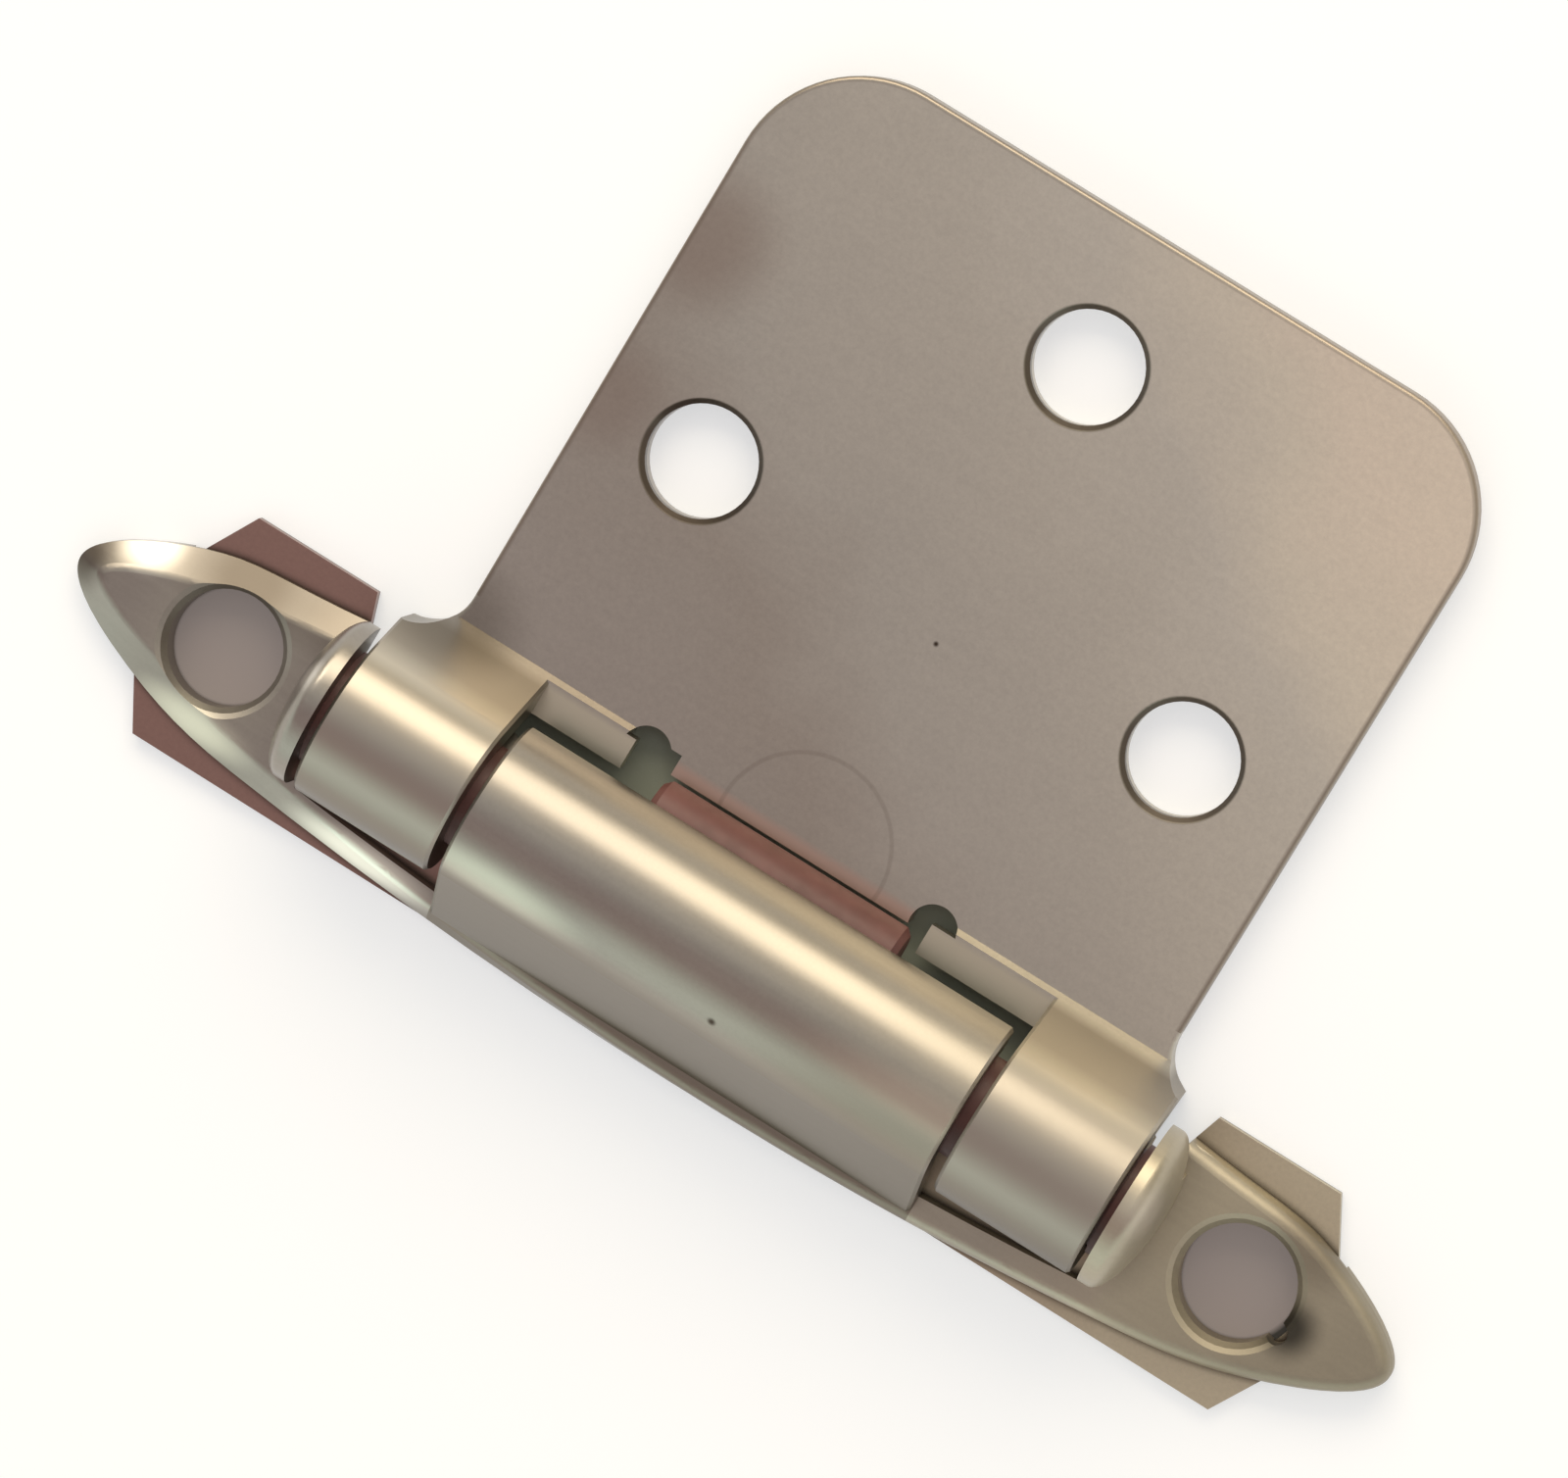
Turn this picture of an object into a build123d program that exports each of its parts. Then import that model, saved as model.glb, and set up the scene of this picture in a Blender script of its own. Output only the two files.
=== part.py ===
from build123d import *
from math import cos, radians, sin, sqrt
import os

# Self-closing cabinet hinge, closed. X runs along the pin, Y towards the door, Z up from the cabinet face.
# The origin lies on the cabinet face, midway between the two frame screws. Millimetres.

# Frame leaf in plan
tip_span = 69.85
belly_half = 6.1
shoulder_x = 24.0
shoulder_half = 4.75
finial_root_x = 22.0
finial_root_half = 4.45
finial_root_slope = 0.12
nose_run = 4.125
nose_half = 3.05
frame_t = 1.2
edge_land = 0.35
strip_width = 1.4

# How far the rolled edge reaches in from the outline: broad round the left finial, narrow elsewhere
left_roll = 1.3
left_roll_soft_r = 0.6
roll = 0.2

# Barrel
pin_y = 0.9
barrel_r = 4.05
barrel_lift = 0.25
centre_length = 25.6
knuckle_gap = 0.6
knuckle_length = 7.1
flank_angle = 60.0
free_edge_angle = 4.0

# Domes over the barrel's ends
dome_gap = 0.45
dome_straight = 0.5
dome_cap = 1.3
dome_wall = 1.0
dome_open_y = 3.0
dome_lip = 0.5

# Screw holes in the finials, with a collar staked through the spring plate
screw_span = 53.975
screw_hole_r = 2.7
screw_dish_width = 0.5
screw_dish_shallow = 0.12
screw_dish_deep = 0.45
collar_wall = 0.35
collar_lift = 0.05
stake_gap = 0.05
split_width = 1.0
split_reach = 3.35
split_angle = -20.0

# Spring plate
spring_t = 0.6
spring_end_land = 0.3125
spring_half = 5.75
spring_corner_x = 1.6
spring_corner_y = 2.85
spring_notch_x = 22.4
spring_notch_root_x = 21.5
spring_notch_root_y = 3.0
arm_width = 13.0
arm_pin_gap = 0.12
arm_bend_r = 1.1
cradle_sweep = 100.0

# Nylon roller
roller_r = 1.75
roller_gap = 0.03
roller_angle = -28.0
roller_length = 13.0
roller_edge = 0.3
roller_leaf_gap = 0.3

# Pin and bushes
pin_r = 1.2
pin_end_gap = 0.05
pin_chamfer = 0.25
bush_wall_gap = 0.03
bush_pin_gap = 0.02
bush_overlap = 0.8
flange_face_gap = 0.1
flange_end_gap = 0.02

# Door leaf
leaf_t = 1.5
leaf_half = 18.7
leaf_offset = 0.3
leaf_edge_y = 38.0
leaf_corner_r = 6.0
rise_angle = 62.5
rise_bend_r = 1.2
curl_end_angle = 315.0
shoulder_r = 2.2
shoulder_y = 8.0
tongue_half = 6.6
tab_start = 7.85
tab_offset = -0.85
tab_gap = 0.7
tab_lip = 0.9
relief_r = 1.15
relief_x = 7.6
relief_offset = -0.5
relief_y = 6.25
door_hole_r = 2.6
door_hole_pitch = 25.4
door_row_y = 18.7
door_hole_rise = 12.7
door_hole_bevel = 0.25
leaf_soft_r = 0.2
rim_bevel = 0.15

# Clearance that the turning door leaf keeps from the barrel and the plates
turn_gap = 0.35

# Edges whose radius is nearer than this to a size belong to that size
same_radius = 0.001

# Places worked out from the sizes above
tip_x = tip_span / 2
nose_x = tip_x - nose_run
pin_z = barrel_r + barrel_lift
frame_top = spring_t + frame_t
centre_half = centre_length / 2
knuckle_in = centre_half + knuckle_gap
knuckle_out = knuckle_in + knuckle_length
dome_in = knuckle_out + dome_gap
dome_length = dome_straight + dome_cap
clear_r = barrel_r + turn_gap
collar_hole_r = screw_hole_r + collar_wall + stake_gap
spring_end = screw_span / 2 + collar_hole_r + spring_end_land
bore_r = barrel_r - leaf_t
frame_bore_r = barrel_r - frame_t
arm_in_r = pin_r + arm_pin_gap
arm_out_r = arm_in_r + spring_t
roller_reach = arm_out_r + roller_gap + roller_r
roller_y = pin_y + roller_reach * cos(radians(roller_angle))
roller_z = pin_z + roller_reach * sin(radians(roller_angle))
tongue_end_y = roller_y + sqrt((roller_r + roller_leaf_gap) ** 2 - (roller_z - leaf_t) ** 2)
pin_axis = Axis((0, pin_y, pin_z), (1, 0, 0))


def about_pin(radius, angle):
    """Point of the cross-section (Y, Z) at a radius from the pin's axis; 0 degrees is towards the door."""
    return (pin_y + radius * cos(radians(angle)), pin_z + radius * sin(radians(angle)))


def slope_y(side, slope, radius, height):
    """Y at which a sheet face that leaves the barrel as a tangent of this radius comes down to a height."""
    return pin_y + side * (radius + (pin_z - height) * cos(radians(slope))) / sin(radians(slope))


def clear_y(side, height):
    """Y at which something at this height is just clear of the turning door leaf or the barrel."""
    return pin_y + side * sqrt(clear_r**2 - (pin_z - height) ** 2)


# Outlines of the frame leaf in plan: the foot, then the top face, smaller by the rolled edge
outlines = []
for left_inset, inset in ((0, 0), (left_roll, roll)):
    with BuildSketch() as outline:
        with BuildLine():
            ends = [(-shoulder_x, left_inset - shoulder_half), (shoulder_x, inset - shoulder_half)]
            belly = ThreePointArc(ends[0], (0, inset - belly_half), ends[1])
            for side, end, drawn_in in ((-1, 0, left_inset), (1, 1, inset)):
                Spline(
                    belly @ end,
                    (side * (nose_x - drawn_in / 2), drawn_in - nose_half),
                    (side * (tip_x - drawn_in), 0),
                    (side * (nose_x - drawn_in / 2), nose_half - drawn_in),
                    (side * finial_root_x, finial_root_half - drawn_in),
                    tangents=((belly % end) * side, (-side, finial_root_slope)),
                )
            Line(
                (-finial_root_x, finial_root_half - left_inset), (finial_root_x, finial_root_half - inset)
            )
        make_face()
    outlines.append(outline.sketch.faces()[0])

# Frame leaf: a canoe-shaped plate with a finial at each end
with BuildPart() as frame_leaf:
    with BuildSketch(Plane.XY.offset(spring_t)):
        add(outlines[0].moved(Location((0, 0, spring_t))))
    extrude(amount=edge_land)
    with BuildSketch(Plane.XY.offset(spring_t + edge_land)):
        add(outlines[0].moved(Location((0, 0, spring_t + edge_land))))
    with BuildSketch(Plane.XY.offset(frame_top)):
        add(outlines[1].moved(Location((0, 0, frame_top))))
    loft(ruled=True)
    crown_edges = frame_leaf.faces().sort_by(Axis.Z)[-1].edges()
    fillet(crown_edges.filter_by(lambda e: e.center().X < -nose_x / 2), left_roll_soft_r)
    # The noses reach down to the cabinet face past the ends of the spring plate
    with BuildSketch():
        add(outlines[0])
        Rectangle(2 * (spring_end + turn_gap), 4 * belly_half, mode=Mode.SUBTRACT)
    extrude(amount=spring_t)
    # Opening for the barrel, which leaves a narrow strip along the belly
    with BuildSketch():
        with BuildLine():
            strip_edge = ThreePointArc(
                (-shoulder_x, strip_width - shoulder_half),
                (0, strip_width - belly_half),
                (shoulder_x, strip_width - shoulder_half),
            )
            Polyline(strip_edge @ 0, (-shoulder_x, belly_half), (shoulder_x, belly_half), strip_edge @ 1)
        make_face()
        Rectangle(2 * dome_in, 4 * belly_half, mode=Mode.INTERSECT)
    extrude(amount=frame_top, mode=Mode.SUBTRACT)
    # Slanted inner edge of each finial
    with BuildSketch():
        with BuildLine():
            Polyline(
                (dome_in, spring_notch_root_y),
                (spring_notch_root_x, spring_notch_root_y),
                (spring_notch_x, spring_half),
                (dome_in, spring_half),
                close=True,
            )
        make_face()
        mirror(about=Plane.YZ)
    extrude(amount=frame_top, mode=Mode.SUBTRACT)
    # Domes: a half-round cap on a skirt, open towards the barrel
    for side in (1, -1):
        with BuildSketch(Plane.XY.offset(pin_z)) as dome_plan:
            for inset, radius, mode in ((0, barrel_r, Mode.ADD), (dome_wall, frame_bore_r, Mode.SUBTRACT)):
                with Locations((side * (dome_in + dome_straight), pin_y)):
                    Ellipse(dome_cap - inset, radius, mode=mode)
                with Locations((side * (dome_in + dome_straight / 2), pin_y)):
                    Rectangle(dome_straight, 2 * radius, mode=mode)
            with Locations((side * (dome_in + dome_length / 2), pin_y)):
                Rectangle(dome_length, 2 * barrel_r, mode=Mode.INTERSECT)
        extrude(amount=-dome_lip)
        with BuildSketch(Plane.XY.offset(spring_t)):
            add(dome_plan.sketch.faces()[0].moved(Location((0, 0, spring_t - pin_z))))
            with Locations((side * (dome_in + dome_length / 2), dome_open_y - 2 * barrel_r)):
                Rectangle(dome_length, 4 * barrel_r, mode=Mode.INTERSECT)
        extrude(amount=pin_z - dome_lip - spring_t)
        with BuildSketch(Plane.XY.offset(pin_z)):
            add(dome_plan.sketch)
            with Locations((side * (dome_in + dome_length / 2), pin_y + barrel_r / 2)):
                Rectangle(dome_length, barrel_r, mode=Mode.INTERSECT)
        revolve(axis=pin_axis, revolution_arc=180)
        # Hollow of the dome, down through the plate
        with BuildSketch(Plane.XY.offset(spring_t)):
            with Locations((side * (dome_in + dome_straight), pin_y)):
                Ellipse(dome_cap - dome_wall, frame_bore_r)
            with Locations((side * (dome_in + dome_straight / 2), pin_y)):
                Rectangle(dome_straight, 2 * frame_bore_r)
        extrude(amount=frame_t, mode=Mode.SUBTRACT)
    # Centre knuckle, rolled up from the strip and over the pin
    with BuildSketch(Plane.YZ.offset(-centre_half)):
        with BuildLine():
            foot = (slope_y(-1, flank_angle, barrel_r, frame_top), frame_top)
            flank = Line(foot, about_pin(barrel_r, 90 + flank_angle))
            crown = CenterArc(
                (pin_y, pin_z), barrel_r, 90 + flank_angle, free_edge_angle - 90 - flank_angle
            )
            edge = Line(crown @ 1, about_pin(frame_bore_r, free_edge_angle))
            inner = CenterArc(
                (pin_y, pin_z), frame_bore_r, free_edge_angle, 90 + flank_angle - free_edge_angle
            )
            heel = (slope_y(-1, flank_angle, frame_bore_r, spring_t), spring_t)
            Polyline(inner @ 1, heel, (foot[0], spring_t), foot)
        make_face()
    extrude(amount=centre_length)
    centre_rims = frame_leaf.edges().filter_by(GeomType.CIRCLE)
    centre_rims = centre_rims.filter_by(lambda e: abs(e.radius - barrel_r) < same_radius)
    chamfer(centre_rims.filter_by(lambda e: abs(e.center().X) < knuckle_in), rim_bevel)
    # Collars around the screw holes, staked through the spring plate
    with BuildSketch(Plane.XY.offset(collar_lift)):
        with Locations((screw_span / 2, 0), (-screw_span / 2, 0)):
            Circle(screw_hole_r + collar_wall)
    extrude(amount=spring_t - collar_lift)
    # Screw holes, dished on top
    for side in (1, -1):
        with BuildSketch(Plane(origin=(side * screw_span / 2, 0, 0), x_dir=(1, 0, 0), z_dir=(0, -1, 0))):
            with BuildLine():
                Polyline(
                    (screw_hole_r + 1.5 * screw_dish_width, frame_top + screw_dish_shallow),
                    (screw_hole_r + 0.5 * screw_dish_width, frame_top - screw_dish_shallow),
                    (screw_hole_r, frame_top - screw_dish_deep),
                    (screw_hole_r, -spring_t),
                    (0, -spring_t),
                    (0, 2 * frame_top),
                    (screw_hole_r + 1.5 * screw_dish_width, 2 * frame_top),
                    close=True,
                )
            make_face()
        revolve(axis=Axis((side * screw_span / 2, 0, 0), (0, 0, 1)), mode=Mode.SUBTRACT)
    # The right collar's rim has split open on its outer side
    with BuildSketch(Plane(origin=(screw_span / 2, 0, 0)).rotated((0, 0, split_angle))):
        with Locations(((split_reach - split_width / 2) / 2, 0)):
            SlotOverall(split_reach + split_width / 2, split_width)
    extrude(amount=frame_top, mode=Mode.SUBTRACT)
frame_leaf.part.label = "frame_leaf"

# Spring plate: flat behind the frame leaf, with an arm that goes over the pin and cradles the roller
with BuildPart() as spring_plate:
    with BuildSketch():
        with BuildLine():
            Polyline(
                (0, clear_y(-1, spring_t)),
                (dome_in, clear_y(-1, spring_t)),
                (spring_notch_root_x, spring_notch_root_y),
                (spring_notch_x, spring_half),
                (spring_end - spring_corner_x, spring_half),
                (spring_end, spring_half - spring_corner_y),
                (spring_end, spring_corner_y - spring_half),
                (spring_end - spring_corner_x, -spring_half),
                (0, -spring_half),
            )
            mirror(about=Plane.YZ)
        make_face()
        with Locations((screw_span / 2, 0), (-screw_span / 2, 0)):
            Circle(collar_hole_r, mode=Mode.SUBTRACT)
    extrude(amount=spring_t)
    with BuildSketch(Plane.YZ.offset(-arm_width / 2)):
        with BuildLine():
            Line((clear_y(-1, 0), 0), (pin_y - arm_out_r - arm_bend_r, 0))
            bend = CenterArc((pin_y - arm_out_r - arm_bend_r, arm_bend_r), arm_bend_r, 270, 90)
            riser = Line(bend @ 1, (pin_y - arm_out_r, pin_z))
            hoop = CenterArc((pin_y, pin_z), arm_out_r, 180, roller_angle - 180)
            cradle = CenterArc((roller_y, roller_z), roller_r + roller_gap, roller_angle + 180, cradle_sweep)
            offset(amount=spring_t, side=Side.RIGHT)
        make_face()
    extrude(amount=arm_width)
spring_plate.part.label = "spring_plate"

# Nylon roller, parallel to the pin, between the spring's cradle and the leaf's tongue
with BuildPart() as nylon_roller:
    with BuildSketch(Plane.YZ.offset(-roller_length / 2)):
        with Locations((roller_y, roller_z)):
            Circle(roller_r)
    extrude(amount=roller_length)
    chamfer(nylon_roller.edges().filter_by(GeomType.CIRCLE), roller_edge)
nylon_roller.part.label = "nylon_roller"

# Hinge pin, from dome to dome
with BuildPart() as hinge_pin:
    pin_half = dome_in + dome_length - dome_wall - pin_end_gap
    with BuildSketch(Plane.YZ.offset(-pin_half)):
        with Locations((pin_y, pin_z)):
            Circle(pin_r)
    extrude(amount=2 * pin_half)
    chamfer(hinge_pin.edges().filter_by(GeomType.CIRCLE), pin_chamfer)
hinge_pin.part.label = "hinge_pin"

# Flanged bushes: held in the domes, they carry the pin and the door leaf's knuckles
bushes = {}
for bush_name, side in (("left_bush", -1), ("right_bush", 1)):
    with BuildPart() as bush:
        with BuildSketch(Plane.XY.offset(pin_z)):
            with BuildLine():
                flange_in = knuckle_out + flange_face_gap
                flange_out = dome_in + dome_straight - flange_end_gap
                Polyline(
                    (side * (centre_half - bush_overlap), pin_y + pin_r + bush_pin_gap),
                    (side * (centre_half - bush_overlap), pin_y + bore_r - bush_wall_gap),
                    (side * flange_in, pin_y + bore_r - bush_wall_gap),
                    (side * flange_in, pin_y + frame_bore_r - bush_wall_gap),
                    (side * flange_out, pin_y + frame_bore_r - bush_wall_gap),
                    (side * flange_out, pin_y + pin_r + bush_pin_gap),
                    close=True,
                )
            make_face()
        revolve(axis=pin_axis)
    bush.part.label = bush_name
    bushes[bush_name] = bush

# Door leaf: flat plate with a tongue, bent up and rolled into the two outer knuckles
with BuildPart() as door_leaf:
    crease_y = slope_y(1, rise_angle, barrel_r, leaf_t)
    heel_y = slope_y(1, rise_angle, bore_r, 0)
    with BuildSketch():
        with Locations((0, (crease_y + leaf_edge_y) / 2)):
            Rectangle(2 * knuckle_out, leaf_edge_y - crease_y)
    extrude(amount=leaf_t)
    # Bent-up sheet of the knuckles, then of the two short tabs beside the tongue, cut off level
    for end, rolled in ((knuckle_out, True), (knuckle_in, False)):
        for side in (1, -1):
            start = knuckle_in if rolled else tab_start + side * tab_offset
            with BuildSketch(Plane.YZ.offset(start if side == 1 else -end)) as section:
                with BuildLine():
                    top = about_pin(barrel_r, 90 - rise_angle)
                    under = about_pin(bore_r, 90 - rise_angle)
                    if rolled:
                        sweep_angle = curl_end_angle - 90 + rise_angle
                        outer = CenterArc((pin_y, pin_z), barrel_r, 90 - rise_angle, sweep_angle)
                        inner = CenterArc((pin_y, pin_z), bore_r, 90 - rise_angle, sweep_angle)
                        Line(outer @ 1, inner @ 1)
                    else:
                        along = sqrt((barrel_r + tab_gap) ** 2 - bore_r**2)
                        tab_y = under[0] + along * cos(radians(rise_angle))
                        tab_z = under[1] - along * sin(radians(rise_angle))
                        under = (tab_y, tab_z)
                        top = (tab_y + leaf_t / sin(radians(rise_angle)), tab_z)
                        Line(top, under)
                    Polyline(under, (heel_y, 0), (crease_y, 0), (crease_y, leaf_t), top)
                make_face()
                fillet(section.vertices().filter_by_position(Axis.Y, heel_y, heel_y), rise_bend_r)
            extrude(amount=end - start)
    # Tongue, flat, up to the roller
    with BuildSketch():
        with Locations((0, (tongue_end_y + crease_y) / 2)):
            Rectangle(2 * tongue_half, crease_y - tongue_end_y)
    extrude(amount=leaf_t)
    # Sides: straight along the leaf, flared in a hollow curve out to the knuckles
    for side in (1, -1):
        with BuildSketch():
            with BuildLine():
                edge_x = leaf_half + side * leaf_offset
                hollow = CenterArc(
                    (side * (edge_x + shoulder_r), shoulder_y), shoulder_r, 90 + 90 * side, 90 * side
                )
                Polyline(
                    hollow @ 1,
                    (side * (edge_x + 2 * shoulder_r), shoulder_y - shoulder_r),
                    (side * (edge_x + 2 * shoulder_r), 2 * leaf_edge_y),
                    (side * edge_x, 2 * leaf_edge_y),
                    hollow @ 0,
                )
            make_face()
        extrude(amount=2 * (pin_z + barrel_r), mode=Mode.SUBTRACT)
    fillet(door_leaf.edges().filter_by(Axis.Z).group_by(Axis.Y)[-1], leaf_corner_r)
    # The sheared outline is a little rounded, and so are the knuckles' rims
    leaf_outline = door_leaf.edges().filter_by_position(Axis.Z, leaf_t, leaf_t)
    fillet(leaf_outline.filter_by_position(Axis.Y, shoulder_y, 2 * leaf_edge_y), leaf_soft_r)
    rims = door_leaf.edges().filter_by(GeomType.CIRCLE)
    chamfer(rims.filter_by(lambda e: abs(e.radius - barrel_r) < same_radius), rim_bevel)
    # Relief holes at the ends of the bend, and the screw holes
    with Locations((relief_offset + relief_x, relief_y, 0), (relief_offset - relief_x, relief_y, 0)):
        Cylinder(relief_r, 2 * tab_z, mode=Mode.SUBTRACT)
    with Locations(
        (door_hole_pitch / 2, door_row_y, 0),
        (-door_hole_pitch / 2, door_row_y, 0),
        (0, door_row_y + door_hole_rise, 0),
    ):
        Cylinder(door_hole_r, 4 * leaf_t, mode=Mode.SUBTRACT)
    screw_rims = door_leaf.edges().filter_by(GeomType.CIRCLE)
    screw_rims = screw_rims.filter_by(lambda e: abs(e.radius - door_hole_r) < same_radius)
    chamfer(screw_rims.group_by(Axis.Z)[-1], door_hole_bevel)
    # The tabs' level ends reach out over the relief holes
    for side in (1, -1):
        start = tab_start + side * tab_offset
        with BuildSketch(Plane.YZ.offset(side * start)):
            with Locations((tab_y + leaf_t / 2, tab_z - tab_lip / 2)):
                Rectangle(leaf_t, tab_lip)
        extrude(amount=side * 2 * relief_r)
door_leaf.part.label = "door_leaf"

os.makedirs("parts", exist_ok=True)
export_step(frame_leaf.part, "parts/frame_leaf.step")
export_step(spring_plate.part, "parts/spring_plate.step")
export_step(nylon_roller.part, "parts/nylon_roller.step")
export_step(hinge_pin.part, "parts/hinge_pin.step")
for bush_name, bush in bushes.items():
    export_step(bush.part, f"parts/{bush_name}.step")
export_step(door_leaf.part, "parts/door_leaf.step")
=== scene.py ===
import math

import bmesh
import bpy
from mathutils import Matrix, Vector

# Spring loaded door hinge, closed, lying on a pale floor. Metres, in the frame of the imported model;
# lengths inside the materials are in millimetres.
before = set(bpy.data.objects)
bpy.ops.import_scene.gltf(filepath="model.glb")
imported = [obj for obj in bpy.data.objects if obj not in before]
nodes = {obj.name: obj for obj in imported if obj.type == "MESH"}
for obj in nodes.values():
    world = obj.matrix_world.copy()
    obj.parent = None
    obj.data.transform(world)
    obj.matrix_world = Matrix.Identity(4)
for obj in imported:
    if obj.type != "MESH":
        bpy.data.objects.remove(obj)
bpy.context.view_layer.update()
MM = 0.001

# The photograph's view
PHOTO_WIDTH = 1600
CAMERA_AZIMUTH = 55.99
CAMERA_ELEVATION = 79.52
CAMERA_ROLL = -114.50
CAMERA_DISTANCE = 400 * MM
CAMERA_TARGET = (-3.10 * MM, 9.95 * MM, 1.0 * MM)
FOCAL_PIXELS = 9094.7

# Places on the hinge, in millimetres
TIP_X = 34.9
SCREW_X = 26.99
CENTRE_HALF = 12.85
FLANK_Y = -2.6
CREASE_Y = 6.63
LEAF_TOP = 1.5
LEAF_MIDDLE = 0.3
LEAF_HALF = 18.7
LEAF_END = 38.0
LEAF_CORNER = 6.0
TONGUE_HALF = 6.7
BEND_HALF = 13.4
SHOULDER_Y = 8.2
HOLE_RADIUS = 2.6
HOLES = ((-12.7, 18.7, LEAF_TOP), (12.7, 18.7, LEAF_TOP), (0.0, 31.4, LEAF_TOP))
PRESS_CENTRE = (0.05, 6.43, LEAF_TOP)
PRESS_RADIUS = 4.1
LEFT_RISE = (-18.8, 6.3, 2.0)
ROLLED_LOW_Y = -4.0
ROLLED_HIGH_Y = 8.0

# Sizes of the marks and of the painted shade in the finishes, in millimetres
CLOUDS = 9.0
GRIT = 0.2
ROLLING_LINES = 0.35
DIE_LINES = 0.08
DYE_CLOUDS = 1.5
MOULD_GRAIN = 0.3
CORNER_SHADE_WIDTH = 0.5
RIM_HALF_WIDTH = 0.22
PRESS_HALF_WIDTH = 0.15
MARK_DEPTH = 0.02

# Lines are drawn out so many times along the pin. The spread is how much grit and lines roughen the satin,
# and the strength how much of their depth is seen.
DRAWN_OUT = 20
ROUGHNESS_SPREAD = 0.08
MARK_STRENGTH = 0.04

# Stage: the floor, the paper seen through the finials' screw holes, and the room's light, in metres
FLOOR_SIZE = 3.0
FLOOR_Z = -0.06 * MM
SHADE_Z = -0.03 * MM
SHADE_RADIUS = 3.6 * MM
PAPER_ROUGHNESS = 0.9
PAPER_LIFT = 0.5
SHADE_LIFT = 0.6
SLOTS_MIDDLE = (0.0, 1.4 * MM, 0.0)
SLOTS_HALF_X = 16 * MM
SLOTS_HALF_Y = 6.2 * MM
OPEN_SPACE = 10 * MM
ROOM_STRENGTH = 1.25


def linear(hex_colour):
    """sRGB hex to linear RGBA."""
    parts = [int(hex_colour[i : i + 2], 16) / 255 for i in (1, 3, 5)]
    return [p / 12.92 if p <= 0.04045 else ((p + 0.055) / 1.055) ** 2.4 for p in parts] + [1.0]


def add_node(tree, kind, links=None, values=None, stops=None, **properties):
    """Adds a node: links and values are by socket, stops are a ramp's places and colours."""
    node = tree.nodes.new(kind)
    for name, value in properties.items():
        setattr(node, name, value)
    for socket, value in (values or {}).items():
        node.inputs[socket].default_value = value
    for socket, source in (links or {}).items():
        tree.links.new(source, node.inputs[socket])
    for number, (place, colour) in enumerate(stops or []):
        elements = node.color_ramp.elements
        element = elements[number] if number < 2 else elements.new(place)
        element.position = place
        element.color = colour
    return node


def new_material(name):
    """Adds a material, and gives its node tree and its shader with it."""
    material = bpy.data.materials.new(name)
    material.use_nodes = True
    tree = material.node_tree
    return material, tree, tree.nodes["Principled BSDF"]


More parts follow.
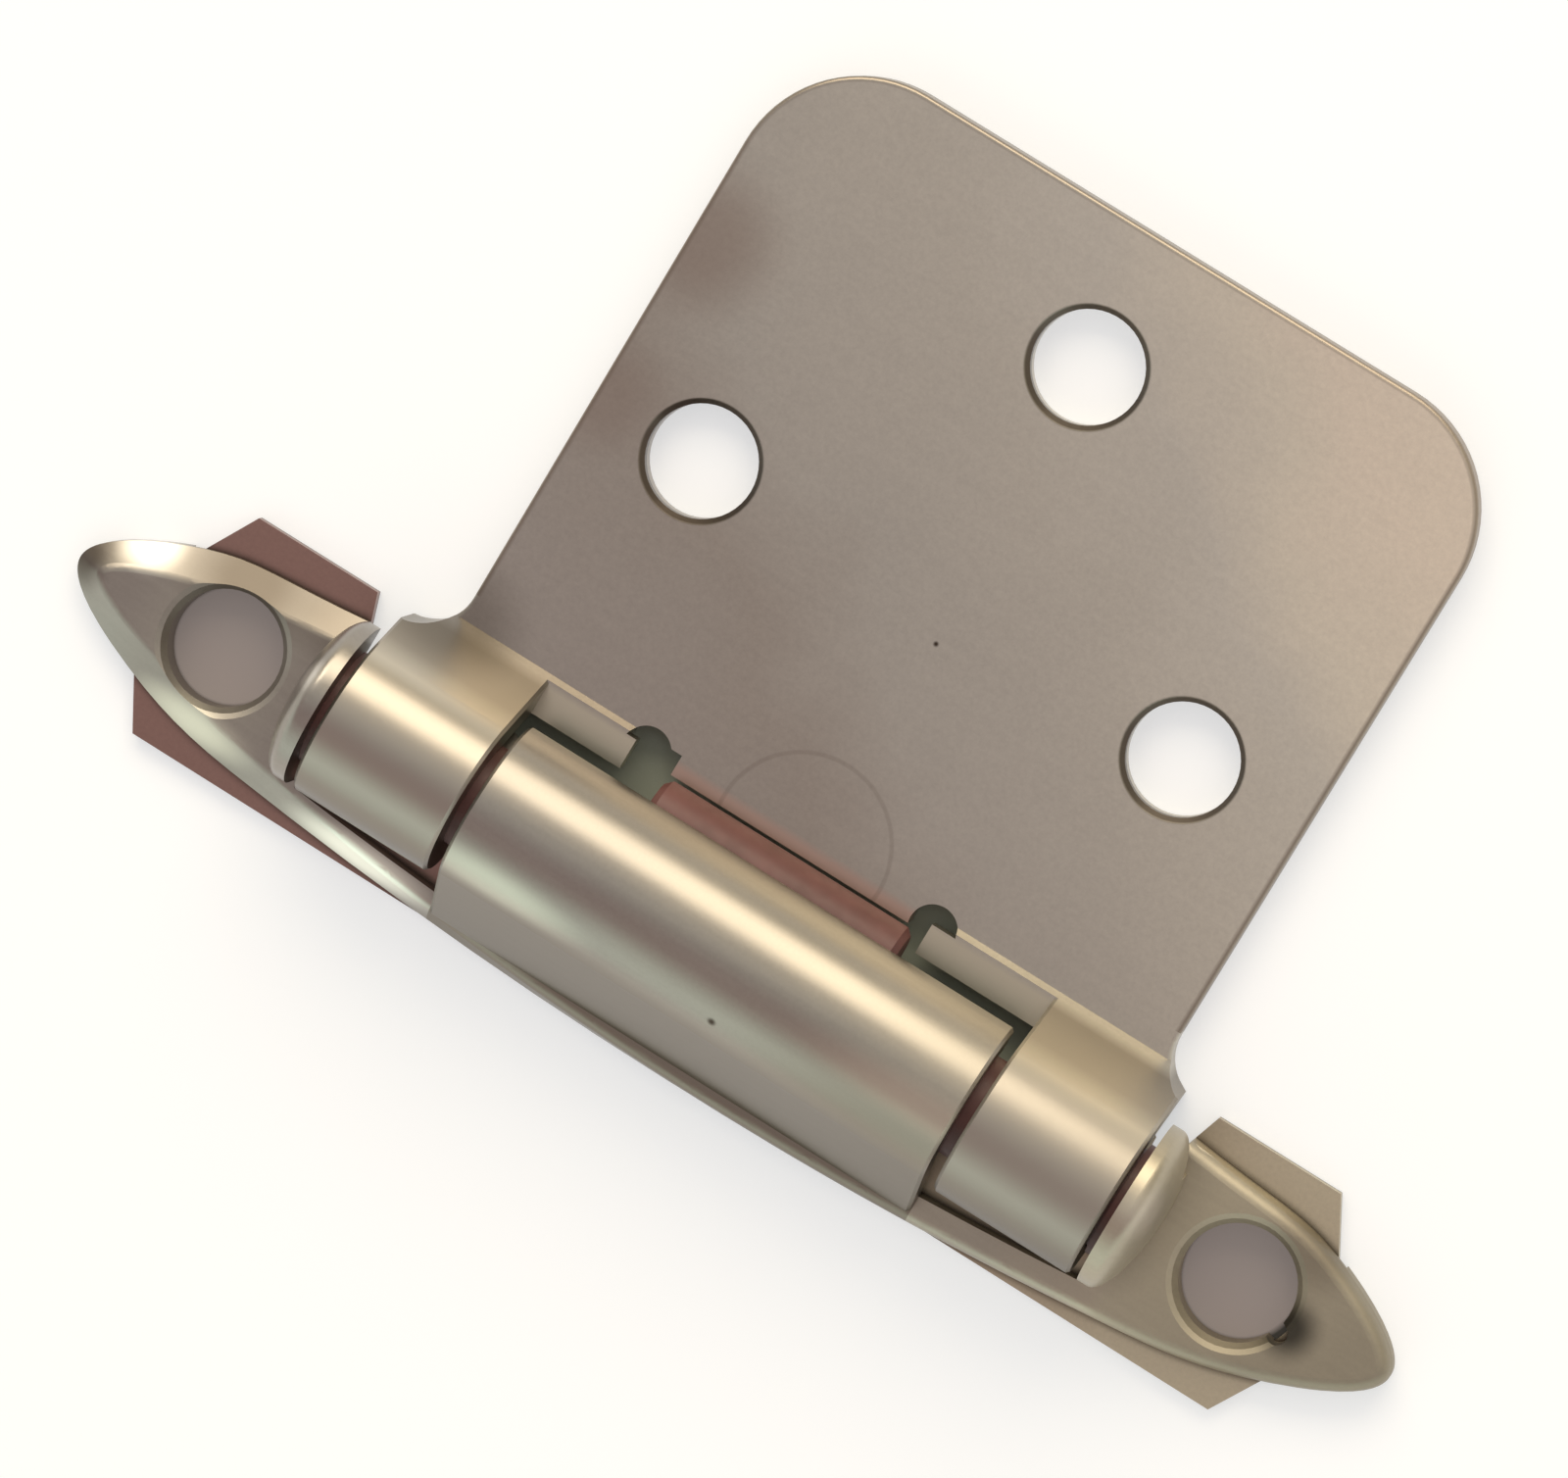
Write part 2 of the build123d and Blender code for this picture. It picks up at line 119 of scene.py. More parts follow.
def satin_nickel(name, tints, across, rough, cloudy=0.22, stains_and_painted_light=(), specks=(), line_share=0.2):
    """Nickel plate over rolled and stamped steel, tumbled to a satin: a metal with a soft, wide gloss.
    Its colour drifts in the direction "across" through the given places and hex colours, shifted by clouds;
    on the door and frame leaves this drift is painted light. Its roughness is given by X in millimetres.
    Grit, faint rolling lines, stained places, painted highlights, painted shade and specks lie on it."""
    material, tree, shader = new_material(name)
    shader.inputs["Metallic"].default_value = 1.0
    coordinate = add_node(tree, "ShaderNodeTexCoord").outputs["Object"]
    point = add_node(
        tree, "ShaderNodeVectorMath", links={0: coordinate}, values={"Scale": 1 / MM}, operation="SCALE"
    ).outputs[0]
    place = add_node(
        tree, "ShaderNodeVectorMath", links={0: point}, values={1: across}, operation="DOT_PRODUCT"
    ).outputs["Value"]
    # Clouds in the plate shift the drift a little
    cloud = add_node(
        tree, "ShaderNodeTexNoise", links={"Vector": point}, values={"Scale": 1 / CLOUDS, "Detail": 2.0}
    ).outputs["Fac"]
    shifted = add_node(
        tree,
        "ShaderNodeMath",
        links={0: cloud, 2: place},
        values={1: cloudy},
        operation="MULTIPLY_ADD",
    ).outputs[0]
    colour = add_node(
        tree,
        "ShaderNodeValToRGB",
        links={0: shifted},
        stops=[(stop, linear(tint)) for stop, tint in tints],
    ).outputs["Color"]
    # The tumbling's grit and the mill's rolling lines, drawn coarser than the real ones so that they show
    grain = add_node(
        tree,
        "ShaderNodeTexNoise",
        links={"Vector": point},
        values={"Scale": 1 / GRIT, "Detail": 2.0, "Roughness": 0.7},
    ).outputs["Fac"]
    drawn = add_node(
        tree,
        "ShaderNodeVectorMath",
        links={0: point},
        values={1: (1 / DRAWN_OUT, 1.0, 1.0)},
        operation="MULTIPLY",
    ).outputs[0]
    rolled = add_node(
        tree,
        "ShaderNodeTexNoise",
        links={"Vector": drawn},
        values={"Scale": 1 / ROLLING_LINES, "Detail": 3.0},
    ).outputs["Fac"]
    marks = add_node(
        tree, "ShaderNodeMix", links={2: grain, 3: rolled}, values={0: line_share}, data_type="FLOAT"
    ).outputs[0]
    shade = add_node(
        tree,
        "ShaderNodeValToRGB",
        links={0: marks},
        stops=[(0.3, (0.9, 0.9, 0.9, 1)), (0.7, (1, 1, 1, 1))],
    ).outputs["Color"]
    colour = add_node(
        tree,
        "ShaderNodeMix",
        links={6: colour, 7: shade},
        values={0: 1.0},
        data_type="RGBA",
        blend_type="MULTIPLY",
    ).outputs[2]
    # Stains, specks, painted highlights and painted shade: each place fades out to its radius, which is so
    # many times longer along the pin
    places = [*stains_and_painted_light, *((centre, radius, 1, "#4A4038", 1.0) for centre, radius in specks)]
    for centre, radius, longer, tint, strength in places:
        offset = add_node(
            tree, "ShaderNodeVectorMath", links={0: point}, values={1: centre}, operation="SUBTRACT"
        ).outputs[0]
        offset = add_node(
            tree,
            "ShaderNodeVectorMath",
            links={0: offset},
            values={1: (1 / longer, 1, 1)},
            operation="MULTIPLY",
        ).outputs[0]
        distance = add_node(
            tree, "ShaderNodeVectorMath", links={0: offset}, operation="LENGTH"
        ).outputs["Value"]
        fade = add_node(
            tree,
            "ShaderNodeMapRange",
            links={"Value": distance},
            values={"From Min": 0.2 * radius, "From Max": radius, "To Min": strength, "To Max": 0.0},
            interpolation_type="SMOOTHSTEP",
        ).outputs[0]
        colour = add_node(
            tree, "ShaderNodeMix", links={0: fade, 6: colour}, values={7: linear(tint)}, data_type="RGBA"
        ).outputs[2]
    tree.links.new(colour, shader.inputs["Base Color"])
    parts = add_node(tree, "ShaderNodeSeparateXYZ", links={0: point})
    along = add_node(
        tree,
        "ShaderNodeMapRange",
        links={"Value": parts.outputs["X"]},
        values={"From Min": -TIP_X, "From Max": TIP_X},
    ).outputs[0]
    gloss = add_node(
        tree,
        "ShaderNodeValToRGB",
        links={0: along},
        stops=[(0.5 + 0.5 * x / TIP_X, (value, value, value, 1)) for x, value in rough],
    ).outputs["Color"]
    uneven = add_node(
        tree,
        "ShaderNodeMath",
        links={0: marks, 2: gloss},
        values={1: ROUGHNESS_SPREAD},
        operation="MULTIPLY_ADD",
    ).outputs[0]
    tree.links.new(uneven, shader.inputs["Roughness"])
    bump = add_node(
        tree,
        "ShaderNodeBump",
        links={"Height": marks},
        values={"Strength": MARK_STRENGTH, "Distance": MARK_DEPTH * MM},
    )
    tree.links.new(bump.outputs[0], shader.inputs["Normal"])
    return material, tree, shader, point


def paint_leaf_marks_and_light(tree, shader, point):
    """Marks and painted light on the door leaf: painted highlight and painted shade in bands round the
    rolled knuckles, paler tabs, the red roller's painted reflection on the tongue, painted shade on the
    screw holes' punched rims and on the left knuckle's rise, a darker line along the edge, and a faint ring
    by the tongue."""
    colour = shader.inputs["Base Color"].links[0].from_socket
    parts = add_node(tree, "ShaderNodeSeparateXYZ", links={0: point})
    row = parts.outputs["Y"]
    beside = add_node(
        tree, "ShaderNodeMath", links={0: parts.outputs["X"]}, operation="ABSOLUTE"
    ).outputs[0]
    # Painted highlight and painted shade on the rolled sheet by Y, from the knuckles' low side over the top
    # and down the rise past the crease
    drop = add_node(
        tree,
        "ShaderNodeMapRange",
        links={"Value": row},
        values={"From Min": ROLLED_LOW_Y, "From Max": ROLLED_HIGH_Y},
    ).outputs[0]
    rolled = add_node(
        tree,
        "ShaderNodeValToRGB",
        links={0: drop},
        stops=[
            (0.08, linear("#7A736B")),
            (0.17, linear("#8F887E")),
            (0.25, linear("#A39C92")),
            (0.64, linear("#A39C92")),
            (0.695, linear("#C4BCAC")),
            (0.76, linear("#A0988B")),
            (0.85, linear("#8F887E")),
        ],
    ).outputs["Color"]
    # Tongue in the middle, with the red roller's painted reflection, then the paler tabs
    out = add_node(
        tree, "ShaderNodeMapRange", links={"Value": beside}, values={"From Max": BEND_HALF}
    ).outputs[0]
    cut = add_node(
        tree,
        "ShaderNodeValToRGB",
        links={0: out},
        stops=[
            (TONGUE_HALF / BEND_HALF - 0.005, linear("#BEA598")),
            (TONGUE_HALF / BEND_HALF + 0.005, linear("#CAC3B0")),
        ],
    ).outputs["Color"]
    inside = add_node(
        tree,
        "ShaderNodeMath",
        links={0: beside},
        values={1: BEND_HALF},
        operation="LESS_THAN",
    ).outputs[0]
    bent = add_node(
        tree, "ShaderNodeMix", links={0: inside, 6: rolled, 7: cut}, data_type="RGBA"
    ).outputs[2]
    flat = add_node(
        tree,
        "ShaderNodeMapRange",
        links={"Value": row},
        values={"From Min": CREASE_Y - 0.3, "From Max": CREASE_Y + 0.1},
    ).outputs[0]
    colour = add_node(
        tree, "ShaderNodeMix", links={0: flat, 6: bent, 7: colour}, data_type="RGBA"
    ).outputs[2]
    # The leaf's sheared edge: how far a point reaches out from the centre of the nearest rounded corner
    centred = add_node(
        tree,
        "ShaderNodeVectorMath",
        links={0: point},
        values={1: (LEAF_MIDDLE, 0.0, LEAF_TOP)},
        operation="SUBTRACT",
    ).outputs[0]
    folded = add_node(tree, "ShaderNodeVectorMath", links={0: centred}, operation="ABSOLUTE").outputs[0]
    beyond = add_node(
        tree,
        "ShaderNodeVectorMath",
        links={0: folded},
        values={1: (LEAF_HALF - LEAF_CORNER, LEAF_END - LEAF_CORNER, LEAF_END)},
        operation="SUBTRACT",
    ).outputs[0]
    beyond = add_node(
        tree, "ShaderNodeVectorMath", links={0: beyond}, values={1: (0, 0, 0)}, operation="MAXIMUM"
    ).outputs[0]
    reach = add_node(tree, "ShaderNodeVectorMath", links={0: beyond}, operation="LENGTH").outputs["Value"]
    edge = add_node(
        tree,
        "ShaderNodeMapRange",
        links={"Value": reach},
        values={"From Min": LEAF_CORNER - 0.3, "From Max": LEAF_CORNER - 0.12, "To Max": 0.8},
    ).outputs[0]
    above = add_node(
        tree, "ShaderNodeMath", links={0: row}, values={1: SHOULDER_Y}, operation="GREATER_THAN"
    ).outputs[0]
    edge = add_node(tree, "ShaderNodeMath", links={0: edge, 1: above}, operation="MULTIPLY").outputs[0]
    colour = add_node(
        tree, "ShaderNodeMix", links={0: edge, 6: colour}, values={7: linear("#84786C")}, data_type="RGBA"
    ).outputs[2]
    # Rings on the upper side, by centre, radius, half width, tint and strength: painted shade on the screw
    # holes' punched rims, then the faint ring by the tongue. The last has no radius and is painted shade on
    # the left knuckle's rise.
    rings = [(centre, HOLE_RADIUS + 0.1, RIM_HALF_WIDTH, "#4A3E36", 0.85) for centre in HOLES]
    rings.append((PRESS_CENTRE, PRESS_RADIUS, PRESS_HALF_WIDTH, "#6E6258", 0.22))
    rings.append((LEFT_RISE, 0.0, 4.6, "#5E564A", 0.5))
    upper = add_node(
        tree,
        "ShaderNodeMath",
        links={0: parts.outputs["Z"]},
        values={1: LEAF_TOP / 2},
        operation="GREATER_THAN",
    ).outputs[0]
    for centre, radius, width, tint, strength in rings:
        ring = add_node(
            tree, "ShaderNodeVectorMath", links={0: point}, values={1: centre}, operation="DISTANCE"
        ).outputs["Value"]
        away = add_node(
            tree, "ShaderNodeMath", links={0: ring}, values={1: radius}, operation="SUBTRACT"
        ).outputs[0]
        away = add_node(tree, "ShaderNodeMath", links={0: away}, operation="ABSOLUTE").outputs[0]
        fade = add_node(
            tree,
            "ShaderNodeMapRange",
            links={"Value": away},
            values={"From Min": 0.3 * width, "From Max": width, "To Min": strength, "To Max": 0.0},
            interpolation_type="SMOOTHSTEP",
        ).outputs[0]
        fade = add_node(tree, "ShaderNodeMath", links={0: fade, 1: upper}, operation="MULTIPLY").outputs[0]
        colour = add_node(
            tree, "ShaderNodeMix", links={0: fade, 6: colour}, values={7: linear(tint)}, data_type="RGBA"
        ).outputs[2]
    tree.links.new(colour, shader.inputs["Base Color"])


def paint_flank_shade(tree, shader, point):
    """The centre knuckle's flank, bent up from the strip, is painted darker than its crown: painted shade.
    """
    colour = shader.inputs["Base Color"].links[0].from_socket
    parts = add_node(tree, "ShaderNodeSeparateXYZ", links={0: point})
    flank = add_node(
        tree,
        "ShaderNodeMapRange",
        links={"Value": parts.outputs["Y"]},
        values={"From Min": FLANK_Y + 0.8, "From Max": FLANK_Y - 0.2},
        interpolation_type="SMOOTHSTEP",
    ).outputs[0]
    beside = add_node(
        tree, "ShaderNodeMath", links={0: parts.outputs["X"]}, operation="ABSOLUTE"
    ).outputs[0]
    knuckle = add_node(
        tree, "ShaderNodeMath", links={0: beside}, values={1: CENTRE_HALF}, operation="LESS_THAN"
    ).outputs[0]
    flank = add_node(tree, "ShaderNodeMath", links={0: flank, 1: knuckle}, operation="MULTIPLY").outputs[0]
    colour = add_node(
        tree, "ShaderNodeMix", links={0: flank, 6: colour}, values={7: linear("#847C71")}, data_type="RGBA"
    ).outputs[2]
    tree.links.new(colour, shader.inputs["Base Color"])


def paint_corner_shade(tree, shader):
    """Painted shade darkens the plate in the corner where the frame leaf stands on it."""
    colour = shader.inputs["Base Color"].links[0].from_socket
    space = add_node(
        tree, "ShaderNodeAmbientOcclusion", values={"Distance": CORNER_SHADE_WIDTH * MM}, samples=8
    ).outputs["AO"]
    out_of_corner = add_node(
        tree, "ShaderNodeMapRange", links={"Value": space}, values={"From Min": 0.45, "From Max": 0.9}
    ).outputs[0]
    colour = add_node(
        tree, "ShaderNodeMix", links={0: out_of_corner, 7: colour}, values={6: linear("#463C36")}, data_type="RGBA"
    ).outputs[2]
    tree.links.new(colour, shader.inputs["Base Color"])


def red_nylon():
    """Nylon, injection moulded and dyed dark red: a smooth skin with a soft gloss."""
    material, tree, shader = new_material("red nylon")
    point = add_node(tree, "ShaderNodeTexCoord").outputs["Object"]
    # The dye lies in clouds, as the nylon flowed
    cloud = add_node(
        tree,
        "ShaderNodeTexNoise",
        links={"Vector": point},
        values={"Scale": 1 / (DYE_CLOUDS * MM), "Detail": 2.0},
    ).outputs["Fac"]
    colour = add_node(
        tree,
        "ShaderNodeValToRGB",
        links={0: cloud},
        stops=[(0.3, linear("#5A3530")), (0.7, linear("#6B423E"))],
    ).outputs["Color"]
    tree.links.new(colour, shader.inputs["Base Color"])
    # The mould's grain, drawn coarser than the real one so that it shows
    fine = add_node(
        tree, "ShaderNodeTexNoise", links={"Vector": point}, values={"Scale": 1 / (MOULD_GRAIN * MM)}
    ).outputs["Fac"]
    rough = add_node(
        tree, "ShaderNodeMapRange", links={"Value": fine}, values={"To Min": 0.40, "To Max": 0.55}
    ).outputs[0]
    tree.links.new(rough, shader.inputs["Roughness"])
    shader.inputs["IOR"].default_value = 1.53
    return material


def drawn_steel():
    """Drawn steel wire, bright, with lines along the wire left by the die."""
    material, tree, shader = new_material("drawn steel wire")
    point = add_node(tree, "ShaderNodeTexCoord").outputs["Object"]
    drawn = add_node(
        tree,
        "ShaderNodeVectorMath",
        links={0: point},
        values={1: (1 / DRAWN_OUT, 1.0, 1.0)},
        operation="MULTIPLY",
    ).outputs[0]
    fine = add_node(
        tree,
        "ShaderNodeTexNoise",
        links={"Vector": drawn},
        values={"Scale": 1 / (DIE_LINES * MM), "Detail": 2.0},
    ).outputs["Fac"]
    colour = add_node(
        tree,
        "ShaderNodeValToRGB",
        links={0: fine},
        stops=[(0.3, linear("#A8A29A")), (0.7, linear("#C4BEB4"))],
    ).outputs["Color"]
    tree.links.new(colour, shader.inputs["Base Color"])
    shader.inputs["Metallic"].default_value = 1.0
    shader.inputs["Roughness"].default_value = 0.28
    return material


def dress(material, *node_names):
    """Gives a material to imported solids."""
    for name in node_names:
        nodes[name].data.materials.clear()
        nodes[name].data.materials.append(material)


def add_sheet(name, mesh, z):
    """Puts a flat stage mesh into the scene at a height."""
    bmesh.ops.translate(mesh, verts=mesh.verts, vec=(0, 0, z))
    data = bpy.data.meshes.new(name)
    mesh.to_mesh(data)
    mesh.free()
    sheet = bpy.data.objects.new(name, data)
    bpy.context.scene.collection.objects.link(sheet)
    return sheet


def add_floor():
    """Pale paper that keeps the hinge's soft shadow, lifted to white where it is seen. Below the slots
    beside the barrel it is painted darker and greener and not lifted, painted shade as in the photograph, as
    long as the hinge stands over it."""
    mesh = bmesh.new()
    bmesh.ops.create_grid(mesh, x_segments=1, y_segments=1, size=FLOOR_SIZE / 2)
    floor = add_sheet("floor", mesh, FLOOR_Z)
    material, tree, shader = new_material("pale paper")
    shader.inputs["Roughness"].default_value = PAPER_ROUGHNESS
    shader.inputs["Specular IOR Level"].default_value = 0.0
    point = add_node(tree, "ShaderNodeTexCoord").outputs["Object"]
    # 1 at the edge of the slots' rectangle, and more past it
    centred = add_node(
        tree, "ShaderNodeVectorMath", links={0: point}, values={1: SLOTS_MIDDLE}, operation="SUBTRACT"
    ).outputs[0]
    scaled = add_node(
        tree,
        "ShaderNodeVectorMath",
        links={0: centred},
        values={1: (1 / SLOTS_HALF_X, 1 / SLOTS_HALF_Y, 0)},
        operation="MULTIPLY",
    ).outputs[0]
    sides = add_node(tree, "ShaderNodeVectorMath", links={0: scaled}, operation="ABSOLUTE").outputs[0]
    parts = add_node(tree, "ShaderNodeSeparateXYZ", links={0: sides})
    reach = add_node(
        tree, "ShaderNodeMath", links={0: parts.outputs["X"], 1: parts.outputs["Y"]}, operation="MAXIMUM"
    ).outputs[0]
    past = add_node(
        tree, "ShaderNodeMapRange", links={"Value": reach}, values={"From Min": 0.97, "From Max": 1.05}
    ).outputs[0]
    # The painted shade there clears where open space lies over it, as when the leaf is open
    space = add_node(
        tree, "ShaderNodeAmbientOcclusion", values={"Distance": OPEN_SPACE}, samples=8
    ).outputs["AO"]
    clear = add_node(
        tree, "ShaderNodeMapRange", links={"Value": space}, values={"From Min": 0.5, "From Max": 0.7}
    ).outputs[0]
    pale = add_node(tree, "ShaderNodeMath", links={0: past, 1: clear}, operation="MAXIMUM").outputs[0]
    # Painted shade: darker, greener paper where neither mask clears it
    colour = add_node(
        tree,
        "ShaderNodeMix",
        links={0: pale},
        values={6: linear("#A0A698"), 7: linear("#C8C6C2")},
        data_type="RGBA",
    ).outputs[2]
    tree.links.new(colour, shader.inputs["Base Color"])
    path = add_node(tree, "ShaderNodeLightPath")
    seen = add_node(
        tree,
        "ShaderNodeMath",
        links={0: path.outputs["Is Camera Ray"], 1: path.outputs["Is Glossy Ray"]},
        operation="MAXIMUM",
    ).outputs[0]
    seen = add_node(
        tree,
        "ShaderNodeMath",
        links={0: seen, 1: path.outputs["Is Transmission Ray"]},
        operation="MAXIMUM",
    ).outputs[0]
    lift = add_node(tree, "ShaderNodeMath", links={0: seen, 1: pale}, operation="MULTIPLY").outputs[0]
    lift = add_node(
        tree, "ShaderNodeMath", links={0: lift}, values={1: PAPER_LIFT}, operation="MULTIPLY"
    ).outputs[0]
    tree.links.new(lift, shader.inputs["Emission Strength"])
    shader.inputs["Emission Color"].default_value = linear("#F4F9FF")
    floor.data.materials.append(material)


def add_shade(x):
    """A disc painted mauve-grey as the paper in shade below a finial's screw hole, as the photograph shows
    it: painted shade that glows faintly in its own colour.
    """
    mesh = bmesh.new()
    bmesh.ops.create_circle(mesh, cap_ends=True, segments=48, radius=SHADE_RADIUS)
    bmesh.ops.translate(mesh, verts=mesh.verts, vec=(x, 0, 0))
    disc = add_sheet("shade", mesh, SHADE_Z)
    material, tree, shader = new_material("shaded paper")
    shader.inputs["Roughness"].default_value = PAPER_ROUGHNESS
    shader.inputs["Specular IOR Level"].default_value = 0.0
    # Painted deeper shade beyond the hole's wall, where only the split in the collar shows it
    point = add_node(tree, "ShaderNodeTexCoord").outputs["Object"]
    out = add_node(
        tree, "ShaderNodeVectorMath", links={0: point}, values={1: (x, 0, SHADE_Z)}, operation="DISTANCE"
    ).outputs["Value"]
    deep = add_node(
        tree,
        "ShaderNodeMapRange",
        links={"Value": out},
        values={"From Min": 2.6 * MM, "From Max": 2.9 * MM},
    ).outputs[0]
    colour = add_node(
        tree,
        "ShaderNodeMix",
        links={0: deep},
        values={6: linear("#7C7471"), 7: linear("#34322F")},
        data_type="RGBA",
    ).outputs[2]
    tree.links.new(colour, shader.inputs["Base Color"])
    tree.links.new(colour, shader.inputs["Emission Color"])
    shader.inputs["Emission Strength"].default_value = SHADE_LIFT
    disc.data.materials.append(material)


def sight(azimuth, elevation):
    """Direction towards a place in the room, from its angles in degrees."""
    turn, rise = math.radians(azimuth), math.radians(elevation)
    return Vector((math.cos(rise) * math.cos(turn), math.cos(rise) * math.sin(turn), math.sin(rise)))


def add_lamp(name, azimuth, elevation, distance, size, watts, hex_colour, target):
    """Soft area lamp that looks at a target from a direction in degrees and a distance."""
    data = bpy.data.lights.new(name, "AREA")
    data.shape = "RECTANGLE"
    data.size, data.size_y = size
    data.energy = watts
    data.color = linear(hex_colour)[:3]
    lamp = bpy.data.objects.new(name, data)
    back = sight(azimuth, elevation)
    lamp.location = Vector(target) + back * distance
    lamp.rotation_euler = back.to_track_quat("Z", "Y").to_euler()
    bpy.context.scene.collection.objects.link(lamp)


def add_world():
    """Soft room light by the angle about the pin's direction, from the low side in front of the hinge (0)
    over the ceiling (0.5) to the low side behind the leaf (1). The ceiling is dim and reddish in front."""
    world = bpy.data.worlds.new("world")
    world.use_nodes = True
    tree = world.node_tree
    direction = add_node(tree, "ShaderNodeTexCoord").outputs["Generated"]
    parts = add_node(tree, "ShaderNodeSeparateXYZ", links={0: direction})
    angle = add_node(
        tree,
        "ShaderNodeMath",
        links={0: parts.outputs["Y"], 1: parts.outputs["Z"]},
        operation="ARCTAN2",
    ).outputs[0]
    place = add_node(
        tree,
        "ShaderNodeMapRange",
        links={"Value": angle},
        values={"From Min": -math.pi / 2, "From Max": math.pi / 2},
    ).outputs[0]
    room = add_node(
        tree,
        "ShaderNodeValToRGB",
        links={0: place},
        stops=[
            (0.00, linear("#EEF8F0")),
            (0.13, linear("#F2FCF4")),
            (0.22, linear("#D6DAD2")),
            (0.31, linear("#B09E9C")),
            (0.42, linear("#AC9C9C")),
            (0.49, linear("#B8B4B2")),
            (0.57, linear("#D4D2CE")),
            (0.66, linear("#D6D0C6")),
            (1.00, linear("#BCB4A0")),
        ],
    ).outputs["Color"]
    tree.links.new(room, tree.nodes["Background"].inputs["Color"])
    tree.nodes["Background"].inputs["Strength"].default_value = ROOM_STRENGTH
    bpy.context.scene.world = world


def add_camera():
    """Camera on the line of sight of the photograph, turned about that line as the photograph is."""
    back = sight(CAMERA_AZIMUTH, CAMERA_ELEVATION)
    right = Vector((0, 0, 1)).cross(back).normalized()
    right = Matrix.Rotation(math.radians(CAMERA_ROLL), 3, back) @ right
    up = back.cross(right)
    data = bpy.data.cameras.new("camera")
    data.sensor_fit = "HORIZONTAL"
    data.lens = data.sensor_width * FOCAL_PIXELS / PHOTO_WIDTH
    data.clip_start = 0.01
    data.clip_end = 10
    camera = bpy.data.objects.new("camera", data)
    axes = Matrix((right, up, back)).transposed().to_4x4()
    camera.matrix_world = Matrix.Translation(Vector(CAMERA_TARGET) + CAMERA_DISTANCE * back) @ axes
    bpy.context.scene.collection.objects.link(camera)
    bpy.context.scene.camera = camera


add_camera()

# Stained places on the door leaf, and painted highlights and painted shade on the frame leaf, by centre and
# radius in millimetres, how many times longer they are along the pin, tint and strength. The door leaf's
# colour drifts up the leaf and to the right, the others' to the right; on both leaves the drift is painted
# light.
leaf_finish, leaf_tree, leaf_shader, leaf_point = satin_nickel(
    "satin nickel plated steel, door leaf",
    tints=[
        (0.02, "#B1ABA3"),
        (0.26, "#ADA59B"),
        (0.40, "#BCB7AD"),
        (0.62, "#C7C1B5"),
        (0.76, "#D0CABE"),
        (0.86, "#E0D7C6"),
        (0.96, "#E9DCCA"),
    ],
    across=(0.014, 0.019, 0.0),
    rough=[(-20, 0.27), (6, 0.31), (20, 0.40)],
    stains_and_painted_light=[
        ((-17.6, 27.4, LEAF_TOP), 4.5, 1, "#8A7468", 0.48),
        ((-18.0, 19.0, LEAF_TOP), 3.6, 1, "#8A7468", 0.35),
    ],
    specks=[((0.6, 17.3, LEAF_TOP), 0.18)],
)
paint_leaf_marks_and_light(leaf_tree, leaf_shader, leaf_point)
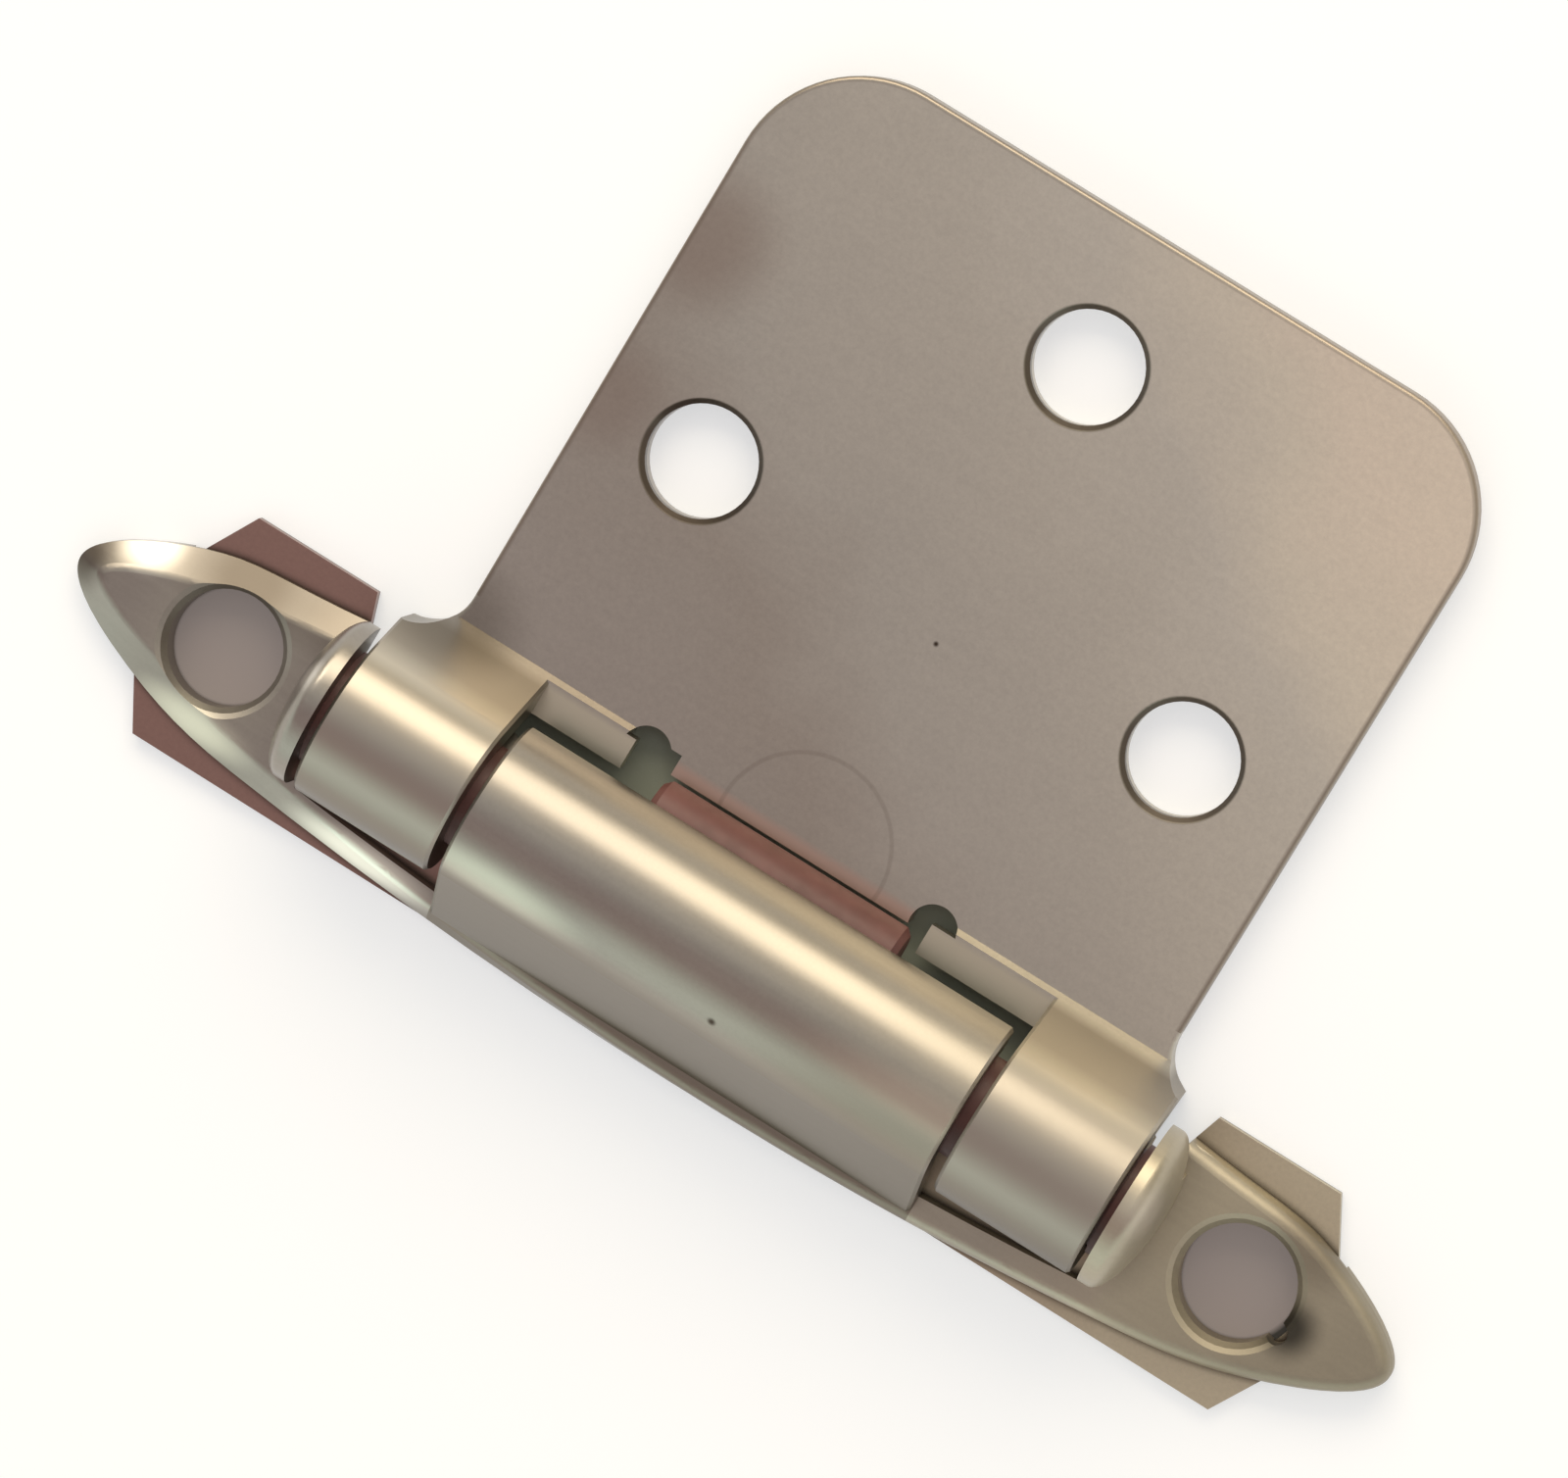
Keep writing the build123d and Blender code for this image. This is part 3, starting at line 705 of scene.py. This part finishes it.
frame_finish, frame_tree, frame_shader, frame_point = satin_nickel(
    "satin nickel plated steel, frame leaf",
    tints=[(0.0, "#9E9890"), (0.30, "#A69F93"), (0.44, "#B6AD9A"), (0.57, "#A09887")],
    across=(0.014, 0.0, 0.0),
    rough=[
        (-32, 0.30),
        (-30, 0.42),
        (-24.5, 0.42),
        (-21.5, 0.27),
        (6, 0.28),
        (14, 0.36),
        (21.6, 0.33),
        (22.4, 0.50),
    ],
    stains_and_painted_light=[
        # Painted highlights and painted shade on the finials' tips and upper edges, the collars and the
        # split
        ((-32.4, 2.4, 1.0), 2.1, 1, "#F0ECE4", 0.75),
        ((-34.6, 0.1, 1.0), 1.9, 1, "#564C44", 0.8),
        ((-22.0, 2.1, 7.5), 1.1, 1, "#F0EAE0", 0.6),
        ((21.7, 1.5, 7.2), 1.8, 1, "#DCD2C6", 0.5),
        ((29.95, -0.45, 1.8), 1.9, 1, "#34322E", 0.9),
        ((-27.5, 3.4, 1.5), 4.2, 1, "#5E554B", 0.72),
        ((-23.0, 4.0, 1.5), 3.0, 1, "#6E6458", 0.5),
        ((29.0, 3.2, 1.5), 3.0, 1, "#6E6458", 0.5),
        # Painted highlights and painted reflections on the lower edges and the centre knuckle, painted shade
        # low on its right
        ((-27.0, -3.9, 1.6), 1.5, 3, "#F4F0DC", 0.7),
        ((-17.0, -5.0, 1.6), 1.3, 4, "#FFFFF0", 0.9),
        ((-10.5, -1.5, 7.3), 1.6, 4, "#E8E8D4", 0.45),
        ((12.0, 0.3, 8.3), 1.5, 6, "#D8CCB8", 0.45),
        ((11.0, -1.7, 7.5), 1.8, 6, "#847A6E", 0.55),
    ],
    specks=[((1.3, -1.5, 7.5), 0.3)],
    line_share=0.5,
)
paint_flank_shade(frame_tree, frame_shader, frame_point)
plate_finish, plate_tree, plate_shader, _ = satin_nickel(
    "nickel plated spring steel",
    tints=[(0.05, "#9C7E75"), (0.25, "#A08878"), (0.45, "#B09E8A"), (0.75, "#C8BEA6")],
    across=(0.018, 0.0, 0.0),
    rough=[(-20, 0.30), (20, 0.40)],
    cloudy=0.55,
)
paint_corner_shade(plate_tree, plate_shader)
dress(leaf_finish, "door_leaf")
dress(frame_finish, "frame_leaf")
dress(plate_finish, "spring_plate")
dress(drawn_steel(), "hinge_pin")
dress(red_nylon(), "left_bush", "right_bush", "nylon_roller")

add_floor()
for side in (-1, 1):
    add_shade(side * SCREW_X * MM)
add_lamp(
    "window",
    azimuth=112,
    elevation=34,
    distance=0.6,
    size=(0.65, 0.36),
    watts=2.5,
    hex_colour="#FFF2DA",
    target=(0, 3 * MM, 4 * MM),
)
add_world()
bpy.context.scene.view_settings.view_transform = "Standard"
